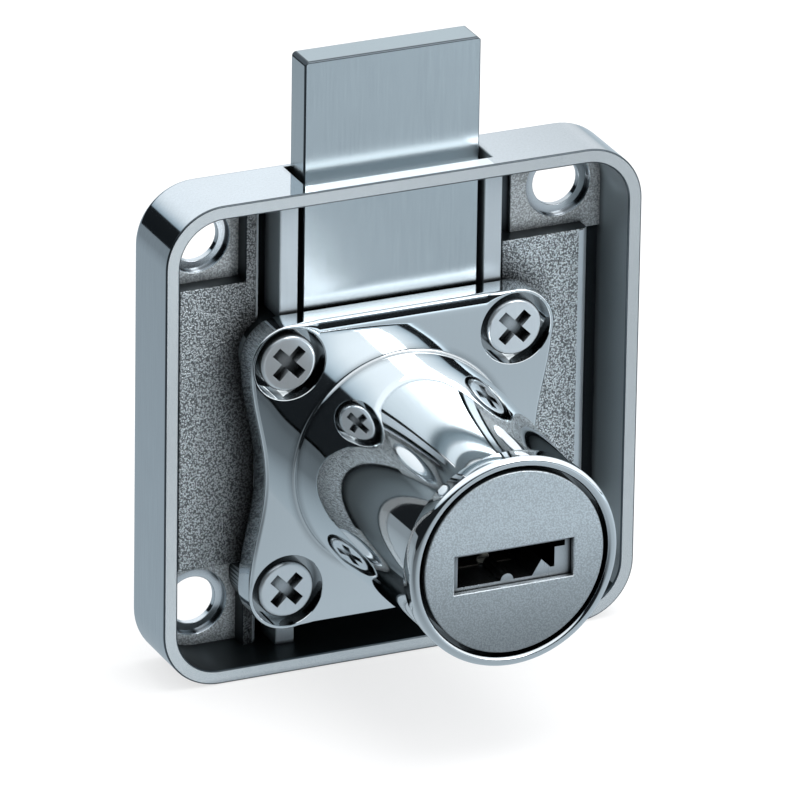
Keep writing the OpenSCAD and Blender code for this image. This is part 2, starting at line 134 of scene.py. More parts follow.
studioSet = {
    "white": (1, 1, 1, 1),
    "domeAxis": (0.3945, 0.1134, 0.9119),     # the bright dome leans to the right and back
    "domeStops": [                            # tone over the cosine to the dome's axis
        (0.000, (0.010, 0.012, 0.014)), (0.212, (0.012, 0.014, 0.016)), (0.228, (0.36, 0.44, 0.50)),
        (0.290, (0.60, 0.68, 0.74)), (0.380, (0.90, 0.95, 0.99)), (0.480, (1.06, 1.10, 1.14)),
        (1.000, (1.16, 1.19, 1.22)),
    ],
    "floorR": 3.0, "floorSides": 96,
    "floorZ": -0.01725,                       # just under the lock's lowest edge
    "floorLit": (0.9, 0.9, 0.9, 1),
    "floorWhite": 0.72,                       # share of plain white in the floor that the camera sees
    # the rest is the floor as the metal mirrors it, in metres from the barrel's axis
    "floorTone": (0.52, 0.60, 0.66, 1),
    "sideX": (-0.12, 0.12), "sideTone": (0.45, 1.15),    # from dark on the left to bright on the right
    "floorReach": 0.60,                       # in front it ends here, as a table does
    "liftReach": (0.16, 0.32), "liftX": (0.0, 0.12),     # it grows brighter to the front right
    "dropX": (0.012, -0.025), "dropY": (-0.01, -0.05),   # it grows darker in front, and more to the left
    "dropFront": 0.16, "dropLeft": 0.46,
}


def makeWorld(s):
    world = bpy.data.worlds.new("studio")
    bpy.context.scene.world = world
    world.use_nodes = True
    t = world.node_tree
    t.nodes.clear()
    coord = newNode(t, "ShaderNodeTexCoord")
    dot = newNode(t, "ShaderNodeVectorMath", operation="DOT_PRODUCT")
    dot.inputs[1].default_value = s["domeAxis"]
    t.links.new(coord.outputs["Generated"], dot.inputs[0])
    ramp = newNode(t, "ShaderNodeValToRGB")
    setRamp(ramp, s["domeStops"])
    t.links.new(dot.outputs["Value"], ramp.inputs[0])
    dome = colourNode(t, "ShaderNodeBackground", ramp.outputs[0])
    white = colourNode(t, "ShaderNodeBackground", s["white"])
    path = newNode(t, "ShaderNodeLightPath")
    seen = mixNode(t, path.outputs["Is Camera Ray"], dome.outputs[0], white.outputs[0])
    t.links.new(seen, newNode(t, "ShaderNodeOutputWorld").inputs[0])


def mirroredTone(t, s):
    # how bright the metal shows the floor at each place
    place = newNode(t, "ShaderNodeNewGeometry").outputs["Position"]
    split = splitNode(t, place)
    x, y = split["X"], split["Y"]
    far = newNode(t, "ShaderNodeVectorMath", operation="LENGTH")
    t.links.new(place, far.inputs[0])
    reach = far.outputs["Value"]
    side = rangeNode(t, x, s["sideX"], s["sideTone"])
    table = mathNode(t, "LESS_THAN", reach, s["floorReach"])
    table = mathNode(t, "MAXIMUM", table, mathNode(t, "GREATER_THAN", y, 0.0))
    lift = mathNode(t, "MULTIPLY", rangeNode(t, reach, s["liftReach"]), rangeNode(t, x, s["liftX"]))
    lift = mathNode(t, "MULTIPLY", lift, mathNode(t, "LESS_THAN", y, 0.0))
    drop = mathNode(t, "MULTIPLY_ADD", rangeNode(t, x, s["dropX"]), s["dropLeft"], s["dropFront"])
    drop = mathNode(t, "MULTIPLY", drop, rangeNode(t, y, s["dropY"]))
    kept = mathNode(t, "MULTIPLY_ADD", drop, -1.0, 1.0)
    return mathNode(t, "MULTIPLY", mathNode(t, "ADD", side, lift), mathNode(t, "MULTIPLY", table, kept))


def floorMaterial(s):
    # the camera sees it nearly white, lamps light it evenly and the metal mirrors a quieter tone
    mat = bpy.data.materials.new("paleFloor")
    mat.use_nodes = True
    t = mat.node_tree
    t.nodes.clear()
    lit = colourNode(t, "ShaderNodeBsdfDiffuse", s["floorLit"])
    plain = colourNode(t, "ShaderNodeEmission", s["white"])
    quiet = colourNode(t, "ShaderNodeEmission", s["floorTone"])
    t.links.new(mirroredTone(t, s), quiet.inputs["Strength"])
    path = newNode(t, "ShaderNodeLightPath").outputs
    seen = mixNode(t, s["floorWhite"], lit.outputs[0], plain.outputs[0])
    base = mixNode(t, path["Is Camera Ray"], lit.outputs[0], seen)
    mirrored = mathNode(t, "MAXIMUM", path["Is Glossy Ray"], path["Is Transmission Ray"])
    byRay = mixNode(t, mirrored, base, quiet.outputs[0])
    t.links.new(byRay, newNode(t, "ShaderNodeOutputMaterial").inputs["Surface"])
    return mat


def makeFloor(s):
    bm = bmesh.new()
    bmesh.ops.create_circle(bm, cap_ends=True, segments=s["floorSides"], radius=s["floorR"])
    bmesh.ops.translate(bm, verts=bm.verts, vec=(0, 0, s["floorZ"]))
    mesh = bpy.data.meshes.new("floor")
    bm.to_mesh(mesh)
    bm.free()
    mesh.materials.append(floorMaterial(s))
    floor = bpy.data.objects.new("floor", mesh)
    bpy.context.scene.collection.objects.link(floor)


lampSet = {    # metres and watts, both aimed at the barrel's axis
    "topBox": {"place": (0.10, -0.05, 0.60), "size": 0.45, "watts": 3.2, "mirrored": False},
    "frontBox": {"place": (0.33, -0.52, 0.44), "size": 0.40, "watts": 1.4, "mirrored": True},
}


def makeLamp(name, s):
    data = bpy.data.lights.new(name, "AREA")
    data.shape = "SQUARE"
    data.size = s["size"]
    data.energy = s["watts"]
    lamp = bpy.data.objects.new(name, data)
    lamp.location = s["place"]
    lamp.rotation_euler = Vector(s["place"]).to_track_quat("Z", "Y").to_euler()
    lamp.visible_glossy = s["mirrored"]
    bpy.context.scene.collection.objects.link(lamp)


bpy.context.scene.view_settings.view_transform = "Standard"
makeWorld(studioSet)
makeFloor(studioSet)
for lampName, lampSettings in lampSet.items():
    makeLamp(lampName, lampSettings)
print("studio ready")


def makeGroup(name, inputs, outputs):
    tree = bpy.data.node_groups.new(name, "ShaderNodeTree")
    for label, value in inputs:
        sock = tree.interface.new_socket(label, in_out="INPUT", socket_type="NodeSocketFloat")
        sock.default_value = value
    for label in outputs:
        tree.interface.new_socket(label, in_out="OUTPUT", socket_type="NodeSocketFloat")
    return tree, newNode(tree, "NodeGroupInput"), newNode(tree, "NodeGroupOutput")


def scaledPoint(tree, scale, stretch=(1, 1, 1)):
    # Object coordinates in grains per millimetre
    coord = newNode(tree, "ShaderNodeTexCoord")
    size = newNode(tree, "ShaderNodeVectorMath", operation="MULTIPLY")
    size.inputs[1].default_value = tuple(v / mm for v in stretch)
    tree.links.new(coord.outputs["Object"], size.inputs[0])
    by = newNode(tree, "ShaderNodeVectorMath", operation="SCALE")
    tree.links.new(size.outputs[0], by.inputs[0])
    feed(tree, by.inputs["Scale"], scale)
    return by.outputs[0]


def noiseValue(tree, point, scale, detail, rough):
    n = newNode(tree, "ShaderNodeTexNoise")
    n.inputs["Scale"].default_value = scale
    n.inputs["Detail"].default_value = detail
    n.inputs["Roughness"].default_value = rough
    tree.links.new(point, n.inputs["Vector"])
    return n.outputs["Fac"]


def paintedGapShadeGroup():
    # painted shade of the narrow gaps, multiplied into the colour: 1 in the open, 0 deep inside a gap
    t, src, out = makeGroup("paintedGapShade", [("Reach", 0.0015), ("Depth", 1.0)], ["Shade"])
    ao = newNode(t, "ShaderNodeAmbientOcclusion", samples=8)
    t.links.new(src.outputs["Reach"], ao.inputs["Distance"])
    shade = mathNode(t, "POWER", ao.outputs["AO"], src.outputs["Depth"], clamp=True)
    t.links.new(shade, out.inputs["Shade"])
    return t


castSet = {
    "coarse": {"scale": 1.0, "detail": 2.0, "rough": 0.65},
    "fine": {"scale": 2.6, "detail": 1.0, "rough": 0.5}, "fineShare": 0.35,
    "cellScale": 1.1, "cellSoft": 0.35, "cellShare": 0.55,
    "pitHeights": (0.30, 0.52),               # from the bottom of a pit to open ground
}


def castGroup(s):
    # coarse grain of an as-cast face, as a height and as a mask of its pits
    t, src, out = makeGroup("castGrain", [("Scale", 2.6)], ["Height", "Pits"])
    point = scaledPoint(t, src.outputs["Scale"])
    coarse = noiseValue(t, point, **s["coarse"])
    fine = noiseValue(t, point, **s["fine"])
    cells = newNode(t, "ShaderNodeTexVoronoi", feature="SMOOTH_F1")
    cells.inputs["Scale"].default_value = s["cellScale"]
    cells.inputs["Smoothness"].default_value = s["cellSoft"]
    t.links.new(point, cells.inputs["Vector"])
    ground = mathNode(t, "MULTIPLY_ADD", fine, s["fineShare"], coarse)
    hollow = mathNode(t, "MULTIPLY", cells.outputs["Distance"], s["cellShare"])
    height = mathNode(t, "SUBTRACT", ground, hollow)
    t.links.new(height, out.inputs["Height"])
    t.links.new(rangeNode(t, height, s["pitHeights"]), out.inputs["Pits"])
    return t


wearSet = {    # scales in grains per millimetre
    "lineScale": 5.0, "lineStretch": (1, 1, 0.04), "lines": {"scale": 1.0, "detail": 2.0, "rough": 0.6},
    "blotchScale": 0.22, "blotches": {"scale": 1.0, "detail": 3.0, "rough": 0.55},
    "fineScale": 9.0, "fine": {"scale": 1.0, "detail": 1.0, "rough": 0.5}, "fineShare": 0.15,
    "toneShare": 0.25,
}


def wearGroup(s):
    # faint drawn lines and blotches of a polished plated face
    t, src, out = makeGroup("plateWear", [("Lines", 1.0), ("Blotches", 1.0)], ["Roughness", "Height", "Tone"])
    lines = noiseValue(t, scaledPoint(t, s["lineScale"], s["lineStretch"]), **s["lines"])
    blotches = noiseValue(t, scaledPoint(t, s["blotchScale"]), **s["blotches"])
    fine = noiseValue(t, scaledPoint(t, s["fineScale"]), **s["fine"])
    lines = mathNode(t, "MULTIPLY", mathNode(t, "SUBTRACT", lines, 0.5), src.outputs["Lines"])
    blotches = mathNode(t, "MULTIPLY", mathNode(t, "SUBTRACT", blotches, 0.5), src.outputs["Blotches"])
    both = mathNode(t, "ADD", lines, blotches)
    height = mathNode(t, "ADD", lines, mathNode(t, "MULTIPLY", fine, s["fineShare"]))
    t.links.new(both, out.inputs["Roughness"])
    t.links.new(height, out.inputs["Height"])
    t.links.new(mathNode(t, "MULTIPLY_ADD", both, s["toneShare"], 1.0), out.inputs["Tone"])
    return t


paintedGapShade = paintedGapShadeGroup()
castGrain = castGroup(castSet)
plateWear = wearGroup(wearSet)


def useGroup(tree, group, **values):
    n = newNode(tree, "ShaderNodeGroup")
    n.node_tree = group
    for k, v in values.items():
        n.inputs[k].default_value = v
    return n.outputs


metalBase = {    # what a finish has unless it says otherwise; lengths in millimetres
    "metallic": 1.0,
    "lines": 0.3, "blotches": 0.3,            # wear
    "roughSwing": 0.1,                        # how much the wear changes the roughness
    "depth": 1.0,                             # how dark the painted shade of narrow gaps grows
    "bump": 0.05, "bumpDepth": 0.02,
}


def metal(name, own):
    # reach is how wide a gap gets painted shade, and paintedLightFall gives an axis, a span along it and the
    # tones at its ends, for painted light and shade that changes along that axis
    s = {**metalBase, **own}
    m = bpy.data.materials.new(name)
    m.use_nodes = True
    t = m.node_tree
    p = t.nodes["Principled BSDF"]
    p.inputs["Metallic"].default_value = s["metallic"]
    shade = useGroup(t, paintedGapShade, Reach=s["reach"] * mm, Depth=s["depth"])["Shade"]
    wear = useGroup(t, plateWear, Lines=s["lines"], Blotches=s["blotches"])
    tone = mathNode(t, "MULTIPLY", shade, wear["Tone"])
    height = wear["Height"]
    if "grain" in s:
        grain = useGroup(t, castGrain, Scale=s["grain"])
        tone = mathNode(t, "MULTIPLY", tone, rangeNode(t, grain["Pits"], end=(s["pitTone"], 1.0)))
        height = grain["Height"]
    # painted light and shade: the colour changes along the given axis
    if "paintedLightFall" in s:
        axis, low, high, *tones = s["paintedLightFall"]
        along = splitNode(t, newNode(t, "ShaderNodeTexCoord").outputs["Object"])[axis]
        tone = mathNode(t, "MULTIPLY", tone, rangeNode(t, along, (low * mm, high * mm), tones))
    colour = newNode(t, "ShaderNodeVectorMath", operation="SCALE")
    colour.inputs[0].default_value = s["colour"]
    t.links.new(tone, colour.inputs["Scale"])
    t.links.new(colour.outputs[0], p.inputs["Base Color"])
    rough = mathNode(t, "MULTIPLY_ADD", wear["Roughness"], s["roughSwing"], s["rough"], clamp=True)
    t.links.new(rough, p.inputs["Roughness"])
    bump = newNode(t, "ShaderNodeBump")
    bump.inputs["Strength"].default_value = s["bump"]
    bump.inputs["Distance"].default_value = s["bumpDepth"] * mm
    t.links.new(height, bump.inputs["Height"])
    t.links.new(bump.outputs[0], p.inputs["Normal"])
    return m


def makeMetals(finishes):
    made = [metal(name, s) for name, s in finishes.items()]
    print("finishes ready:", ", ".join(finishes))
    return made


# painted dark reflection: the thin dark line that the housing's rim and the bolt show along their edges
paintedDarkEdge = metal("paintedDarkEdge", {"colour": (0.11, 0.13, 0.145), "rough": 0.35, "reach": 0.6, "bump": 0.02})

meshSet = {
    "weld": 1e-6,                             # metres
    "flatAngle": 0.4,                         # degrees within which two faces are one
    "sharp": 28,                              # degrees from which an edge is rounded
    "samePlane": 0.99999,                     # cosine between faces of one plane
    "nearFace": 0.6, "nearRound": 0.3,        # cosines within which a rounding follows a face or a rounding
}


def mergedCopy(node):
    # the node's mesh with its doubles merged and its flat faces joined
    bm = bmesh.new()
    bm.from_mesh(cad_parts[node].data)
    bmesh.ops.remove_doubles(bm, verts=bm.verts, dist=meshSet["weld"])
    bmesh.ops.dissolve_limit(bm, angle_limit=math.radians(meshSet["flatAngle"]), verts=bm.verts,
                             edges=bm.edges, delimit={"NORMAL"})
    return bm


def roundEdges(bm, widthOf):
    # marks each sharp edge with its share of the widest rounding, which is given back
    layer = bm.edges.layers.float.new("bevel_weight_edge")
    widths = {}
    for e in bm.edges:
        if len(e.link_faces) == 2 and e.calc_face_angle(0) > math.radians(meshSet["sharp"]):
            mid = (e.verts[0].co + e.verts[1].co) / 2 / mm
            widths[e] = widthOf(mid, e)
    widest = max(widths.values())
    for e, w in widths.items():
        e[layer] = w / widest
        e.smooth = w > 0
    return widest


def edgeTables(mesh):
    # the edges of each face, and the faces along each edge
    faceEdges = [[mesh.loops[l].edge_index for l in f.loop_indices] for f in mesh.polygons]
    byEdge = {}
    for k, edges in enumerate(faceEdges):
        for e in edges:
            byEdge.setdefault(e, []).append(k)
    return faceEdges, byEdge


def flatGroups(mesh, faceEdges, byEdge):
    # faces that lie in one plane count as one big face when normals are weighed
    groupOf, area = [-1] * len(mesh.polygons), []
    for start in range(len(mesh.polygons)):
        if groupOf[start] >= 0:
            continue
        group = len(area)
        area.append(0.0)
        groupOf[start] = group
        stack = [start]
        while stack:
            k = stack.pop()
            f = mesh.polygons[k]
            area[group] += f.area
            for o in (o for e in faceEdges[k] for o in byEdge[e] if groupOf[o] < 0):
                other = mesh.polygons[o]
                flat = other.normal.dot(f.normal) > meshSet["samePlane"]
                if flat and other.material_index == f.material_index:
                    groupOf[o] = group
                    stack.append(o)
    return groupOf, area


def cornerNormals(mesh, isRound, groupOf, area):
    # flat and curved faces keep their own normals, and the roundings run from one to the next
    polys = mesh.polygons
    atVert = {}
    for f in polys:
        for v in f.vertices:
            atVert.setdefault(v, []).append(f.index)
    near = math.cos(math.radians(meshSet["sharp"]))

    def ownNormal(k, v):
        n, seen = Vector((0, 0, 0)), set()
        for o in atVert[v]:
            if not isRound[o] and groupOf[o] not in seen and polys[o].normal.dot(polys[k].normal) > near:
                seen.add(groupOf[o])
                n += polys[o].normal * area[groupOf[o]]
        return n.normalized()

    def roundNormal(k, v):
        def like(o):
            return polys[o].normal.dot(polys[k].normal)
        best = max((o for o in atVert[v] if not isRound[o]), key=like, default=None)
        if best is not None and like(best) > meshSet["nearFace"]:
            return ownNormal(best, v)
        n = Vector((0, 0, 0))
        for o in atVert[v]:
            if isRound[o] and like(o) > meshSet["nearRound"]:
                n += polys[o].normal * polys[o].area
        return n.normalized()

    normals = [None] * len(mesh.loops)
    for f in polys:
        for l, v in zip(f.loop_indices, f.vertices):
            normals[l] = roundNormal(f.index, v) if isRound[f.index] else ownNormal(f.index, v)
    return normals


def settleFinish(polys, faceEdges, byEdge, isRound, unset):
    # each rounding takes the finish of the face that it grows from
    settled = set()
    while unset:
        later = []
        for k in unset:
            done = [o for e in faceEdges[k] for o in byEdge[e] if not isRound[o] or o in settled]
            if done:
                best = max(done, key=lambda o: polys[o].normal.dot(polys[k].normal))
                polys[k].material_index = polys[best].material_index
                settled.add(k)
            else:
                later.append(k)
        if len(later) == len(unset):
            for k in later:
                polys[k].material_index = 0
            return
        unset = later


def cleanNormals(mesh, roundSlot=-1, keep=None):
    polys = mesh.polygons
    faceEdges, byEdge = edgeTables(mesh)
    groupOf, area = flatGroups(mesh, faceEdges, byEdge)
    isRound = [f.material_index == roundSlot for f in polys]
    normals = cornerNormals(mesh, isRound, groupOf, area)
    unset = [f.index for f in polys if isRound[f.index] and not (keep and keep(f.center / mm))]
    settleFinish(polys, faceEdges, byEdge, isRound, unset)
    mesh.shade_smooth()
    mesh.normals_split_custom_set(normals)


def finishPiece(name, node, bm, mats, widest, segments=3, clamp=True, keep=None):
    # keep tells which roundings stay in the painted dark edge line's finish
    raw = bpy.data.meshes.new(name + "_raw")
    bm.to_mesh(raw)
    bm.free()
    for m in [*mats, paintedDarkEdge if keep else mats[0]]:
        raw.materials.append(m)
    ob = bpy.data.objects.new(name, raw)
    bpy.context.scene.collection.objects.link(ob)
    mod = ob.modifiers.new("rounding", "BEVEL")
    mod.limit_method = "WEIGHT"
    mod.width = widest * mm
    mod.segments = segments
    mod.use_clamp_overlap = clamp
    mod.material = len(mats)
    mod.miter_outer = "MITER_SHARP"
    mesh = bpy.data.meshes.new_from_object(ob.evaluated_get(bpy.context.evaluated_depsgraph_get()))
    ob.modifiers.clear()
    ob.data = mesh
    mesh.name = name
    cleanNormals(mesh, len(mats), keep)
    if not keep:
        mesh.materials.pop()
    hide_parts(node)
    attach(ob, {"bolt": "bolt", "plug": "core", "face_cap": "core"}.get(node, "case"))
    print(name, "made,", len(mesh.polygons), "faces")


# the housing: every outer edge is rounded, the rails and the rim the most
housingSet = {    # millimetres
    "centreZ": 3.8, "half": 21.0, "inner": 19.8, "corner": 5.0, "wall": 0.6, "holePitch": 32.0,
    "boltHalf": 7.75, "mouthY": 1.5, "mouthSlack": 0.2, "innerSlack": 0.02, "topSlack": 0.05,
    "depths": {"rim": 0.0, "rail": 2.9, "plateau": 3.95, "pad": 5.5, "ring": 6.0, "floor": 5.9},
    "rounding": {"rim": 0.13, "mouth": 0.12, "rail": 0.14, "plateau": 0.12, "pad": 0.10, "other": 0.06},
    "mouthDepths": (1, 6.2),                  # where the bolt's mouth takes its own rounding
    "strip": 0.5, "stripFrom": 10,            # smooth strip along the right plateau
    "holeRing": 3.0, "wallEnd": 5.95,         # walls this near to a hole, or deeper than this, stay chromed
    "stepX": -11.5, "stepY": 4.0,             # the left plateau's step, painted near black for its shade
    "darkDepth": 0.35, "darkMouthZ": 24.6,    # roundings at the rim and over the mouth that keep the painted dark edge line
    "flat": 0.95, "slope": 0.4, "upright": 0.2, "up": 0.5,    # a face's normal along an axis
    "finishes": {
        # painted shade: the housing's chrome grows darker towards the right
        "caseChrome": {"colour": (0.68, 0.74, 0.78), "rough": 0.07, "reach": 1.0, "lines": 0.7, "bump": 0.03,
                       "paintedLightFall": ("X", -2, 16, 1.0, 0.72)},
        "castPlateau": {"colour": (0.88, 0.95, 0.99), "rough": 0.28, "metallic": 0.68, "reach": 2.4,
                        "depth": 2.0, "grain": 5.8, "pitTone": 0.22, "bump": 1.0, "bumpDepth": 0.1},
        # painted light and shade: the pads are lighter at the bottom and darker at the top
        "castPad": {"colour": (0.91, 0.97, 1.0), "rough": 0.32, "metallic": 0.25, "reach": 1.0,
                    "grain": 5.8, "pitTone": 0.50, "bump": 0.5, "bumpDepth": 0.06,
                    "paintedLightFall": ("Z", -14, 6, 1.0, 0.74)},
        # partly painted shade: the inner walls are a rougher cast face, and darker than the chrome for the
        # shade inside the tray
        "castWallPaintedShade": {"colour": (0.30, 0.35, 0.375), "rough": 0.45, "metallic": 0.5, "reach": 1.0,
                     "depth": 1.4, "lines": 0.4, "bump": 0.2},
        # painted shade: the deep floor is dark for the shade inside the channels
        "castFloorPaintedShade": {"colour": (0.20, 0.23, 0.25), "rough": 0.40, "metallic": 0.9, "reach": 4.0,
                      "depth": 2.0},
        "railFront": {"colour": (0.62, 0.68, 0.72), "rough": 0.40, "metallic": 0.6, "reach": 0.35,
                      "depth": 4.0, "bump": 0.14},
        # painted shade: the rim's front grows darker towards the right
        "rimFront": {"colour": (0.96, 0.99, 1.0), "rough": 0.16, "metallic": 0.8, "reach": 0.6, "bump": 0.03,
                     "paintedLightFall": ("X", -21, 15, 1.0, 0.74)},
        # painted shade: near black walls where they face up inside the tray and at the left plateau's step
        "paintedShadeWall": {"colour": (0.04, 0.05, 0.055), "rough": 0.40, "metallic": 0.9, "reach": 1.0},
        "plateauStrip": {"colour": (0.74, 0.80, 0.84), "rough": 0.30, "metallic": 0.8, "reach": 1.2,
                         "bump": 0.1},
        "ringChrome": {"colour": (0.94, 0.97, 1.0), "rough": 0.14, "reach": 1.0, "depth": 1.2, "bump": 0.03},
        # painted shade: the left plateau grows darker towards the middle
        "castLeft": {"colour": (0.91, 0.97, 1.0), "rough": 0.28, "metallic": 0.68, "reach": 2.2, "depth": 1.8,
                     "grain": 5.8, "pitTone": 0.22, "bump": 1.0, "bumpDepth": 0.1,
                     "paintedLightFall": ("X", -17.5, -12.6, 1.0, 0.34)},
        "bridgeTop": {"colour": (0.60, 0.66, 0.69), "rough": 0.34, "metallic": 0.3, "reach": 0.3,
                      "depth": 2.0, "bump": 0.03},
    },
}


def span(mid, y, slack=0.03):
    return abs(mid[1] - y) < slack


def cutAt(bm, faces, x):
    # cuts these faces in two across the x axis
    parts = list({g for f in faces for g in [f, *f.edges, *f.verts]})
    bmesh.ops.bisect_plane(bm, geom=parts, plane_co=(x, 0, 0), plane_no=(1, 0, 0))


def isInside(s, x, z):
    # whether a place belongs to the tray and not to its outer wall, which has round corners
    x, z = abs(x), abs(z)
    straight = s["half"] - s["corner"]
    if min(x, z) > straight:
        return math.hypot(x - straight, z - straight) < s["corner"] - s["wall"]
    return max(x, z) < s["inner"] + s["innerSlack"]


def housingKind(s, f, stripX):
    # the finish of one face, by where it lies and where it looks
    c, n, d = f.calc_center_median() / mm, f.normal, s["depths"]
    x, z = c[0], c[2] - s["centreZ"]
    pitch = s["holePitch"] / 2
    hole = min(math.hypot(x - sx * pitch, z - sz * pitch) for sx in (-1, 1) for sz in (-1, 1))
    inside = isInside(s, x, z)
    plateau = "plateauStrip" if x > stripX else "castPlateau" if x > 0 else "castLeft"
    fronts = {"rim": "rimFront", "rail": "railFront", "plateau": plateau, "pad": "castPad",
              "ring": "ringChrome", "floor": "castFloorPaintedShade"}
    if n.y < -s["flat"]:
        return next((kind for k, kind in fronts.items() if span(c, d[k])), "caseChrome")
    top = n.z > s["flat"] and z > s["half"] - s["topSlack"]
    if (top and abs(x) < s["boltHalf"] and c[1] < s["mouthY"]) or (n.y > s["flat"] and span(c, s["mouthY"])):
        return "bridgeTop"
    if n.y < -s["slope"] and inside:
        return "railFront"
    if inside and abs(n.y) < s["upright"] and hole > s["holeRing"] and c[1] < s["wallEnd"]:
        # faces that look up inside the tray, and the left plateau's step, take the near black painted shade
        step = n.z > s["up"] or (n.x < -s["up"] and x < s["stepX"] and c[1] > s["stepY"])
        return "paintedShadeWall" if step else "castWallPaintedShade"
    return "caseChrome"


def housingRounding(s, mid, e):
    sizes = s["rounding"]
    low, high = s["mouthDepths"]
    if not e.is_convex:
        return 0
    if span(mid, s["depths"]["rim"]):
        return sizes["rim"]
    if mid[2] - s["centreZ"] > s["half"] - s["topSlack"] and low < mid[1] < high:
        return sizes["mouth"]
    return next((sizes[k] for k in ("rail", "plateau", "pad") if span(mid, s["depths"][k])), sizes["other"])


def makeHousing(s):
    bm = mergedCopy("housing")
    mats, names = makeMetals(s["finishes"]), list(s["finishes"])
    # the right plateau has a smooth strip along its outer edge
    right = [f for f in bm.faces if f.normal.y < -s["flat"] and f.calc_center_median().x > s["stripFrom"] * mm
             and span(f.calc_center_median() / mm, s["depths"]["plateau"])]
    stripX = max(v.co.x for f in right for v in f.verts) - s["strip"] * mm
    cutAt(bm, right, stripX)
    # the narrow bridge in front of the bolt's mouth has its own finish
    topZ = (s["centreZ"] + s["half"] - s["topSlack"]) * mm
    for x in (-s["boltHalf"], s["boltHalf"]):
        cutAt(bm, [f for f in bm.faces if f.normal.z > s["flat"] and f.calc_center_median().z > topZ], x * mm)
    for f in bm.faces:
        f.material_index = names.index(housingKind(s, f, stripX / mm))
    widest = roundEdges(bm, lambda mid, e: housingRounding(s, mid, e))

    # the rim's roundings and those over the mouth keep the painted dark edge line
    def isDark(c):
        return c[1] < s["darkDepth"] or (c[2] > s["darkMouthZ"] and span(c, s["mouthY"], s["mouthSlack"]))

    finishPiece("housing_body", "housing", bm, mats, widest, clamp=False, keep=isDark)


makeHousing(housingSet)

boltSet = {
    "edge": 0.10,                             # rounding in millimetres
    "end": 0.9, "slope": 0.3,                 # a face's normal along the bolt, at its end and on its slopes; the slopes take the painted dark edge line
    "finishes": {
        # painted shade: the bolt's narrow, deep gap shade draws a thin black line where it meets the flange
        "boltSatin": {"colour": (0.74, 0.80, 0.83), "rough": 0.23, "reach": 0.35, "depth": 4.0, "lines": 0.5},
        "boltEnd": {"colour": (0.32, 0.38, 0.41), "rough": 0.42, "metallic": 0.6, "reach": 0.8, "lines": 0.5},
    },
}


def makeBolt(s):
    bm = mergedCopy("bolt")
    widest = roundEdges(bm, lambda mid, e: s["edge"])
    mats = [*makeMetals(s["finishes"]), paintedDarkEdge]
    for f in bm.faces:
        # the chamfered slopes and the top's roundings take the painted dark edge line
        f.material_index = 1 if f.normal.z > s["end"] else 2 if f.normal.z > s["slope"] else 0
    finishPiece("bolt_plate", "bolt", bm, mats, widest, keep=lambda c: c[2] > 0)


makeBolt(boltSet)

# the barrel and its flange, grown as one skin from the flange's back to the bore
barrelSet = {    # millimetres, and degrees for angles
    "sides": 144, "pocketSides": 56,
    "pocketSteps": 3, "filletSteps": 6, "easeSteps": 6, "lipSteps": 7, "innerSteps": 6,
    "flangeFace": 0.2, "flangeBack": 2.9, "half": 10.0, "lobeR": 3.4, "waist": 1.35,
    "waveSteps": 48, "lobeStep": 3.75, "lobeSteps": 24, "endSteps": 50, "samePoint": 1e-6,
    "edgeR": 0.34, "rollR": 3.6, "rollTilt": 20,          # the long edges roll off gently and then turn tight
    "rollFrom": 3.3,                                      # the flange's ends are straight past this
    "backR": 0.50, "backShare": 3,                        # the back's rounding, and its most in edge roundings
    "roomShare": 0.8, "roomGap": 0.05,                    # what a rounding may take of the room at a pocket
    "backTurn": (15, 30, 45, 60, 75, 90), "tightTurn": (90, 80, 70, 60, 50, 40, 30),
    "gentleTurn": (20, 16, 12, 9, 6, 3, 0),
    "holeR": 1.65, "pocketR": 3.1, "pocketEdge": 0.10, "pocketFloor": 1.75,
    "rootR": 9.5, "fillet": 0.24, "rootStart": -1.4, "rootEnd": -3.2,
    "easeShare": 0.17, "easeLength": 4.2,                 # the straight root eases into the taper
    "noseR": 8.8, "noseEnd": -20.1, "noseFoot": [(0.02, 0.12), (0.06, 0.0)],
    "collarR": 9.05, "collarStart": -20.3, "collarEdge": [(-0.05, 0.04), (0.0, -0.06)],
    "lip": -22.0, "lipEdge": 0.44, "innerEdge": 0.36,
    "headBore": 8.2, "headEnd": -19.8, "bore": 6.55, "ringPocket": 8.1, "ringStart": 0.81,
    "grooveStart": -17.7, "grooveEnd": -4.6, "grooveX": 7.55, "grooveHalf": 3.15, "grooveSlack": 0.1,
    "sideFrom": 1.9, "sideDepth": 0.3, "pocketSlack": 0.11,    # where the flange's side with painted shade begins
    "topFrom": 2.6, "topDepth": 0.15,
    "finishes": {
        "barrelChrome": {"colour": (0.90, 0.94, 0.96), "rough": 0.04, "reach": 0.8, "lines": 0.1,
                         "blotches": 0.1, "bump": 0.01},
        # painted shade: the flange's side is a darker copy of the chrome with a wide, deep gap shade
        "flangeSidePaintedShade": {"colour": (0.68, 0.74, 0.78), "rough": 0.10, "reach": 3.4, "depth": 2.6,
                       "blotches": 0.1, "bump": 0.01},
    },
}


def newVerts(geom):
    return [g for g in geom if isinstance(g, bmesh.types.BMVert)]


def edgesAmong(geom, verts):
    return [g for g in geom if isinstance(g, bmesh.types.BMEdge) and all(v in verts for v in g.verts)]


def circleEdges(bm, r, y, sides, x=0.0, z=0.0):
    made = bmesh.ops.create_circle(bm, cap_ends=False, segments=sides, radius=r * mm)["verts"]
    bmesh.ops.rotate(bm, verts=made, cent=(0, 0, 0), matrix=Matrix.Rotation(math.pi / 2, 3, "X"))
    bmesh.ops.translate(bm, verts=made, vec=(x * mm, y * mm, z * mm))
    return list({e for v in made for e in v.link_edges})


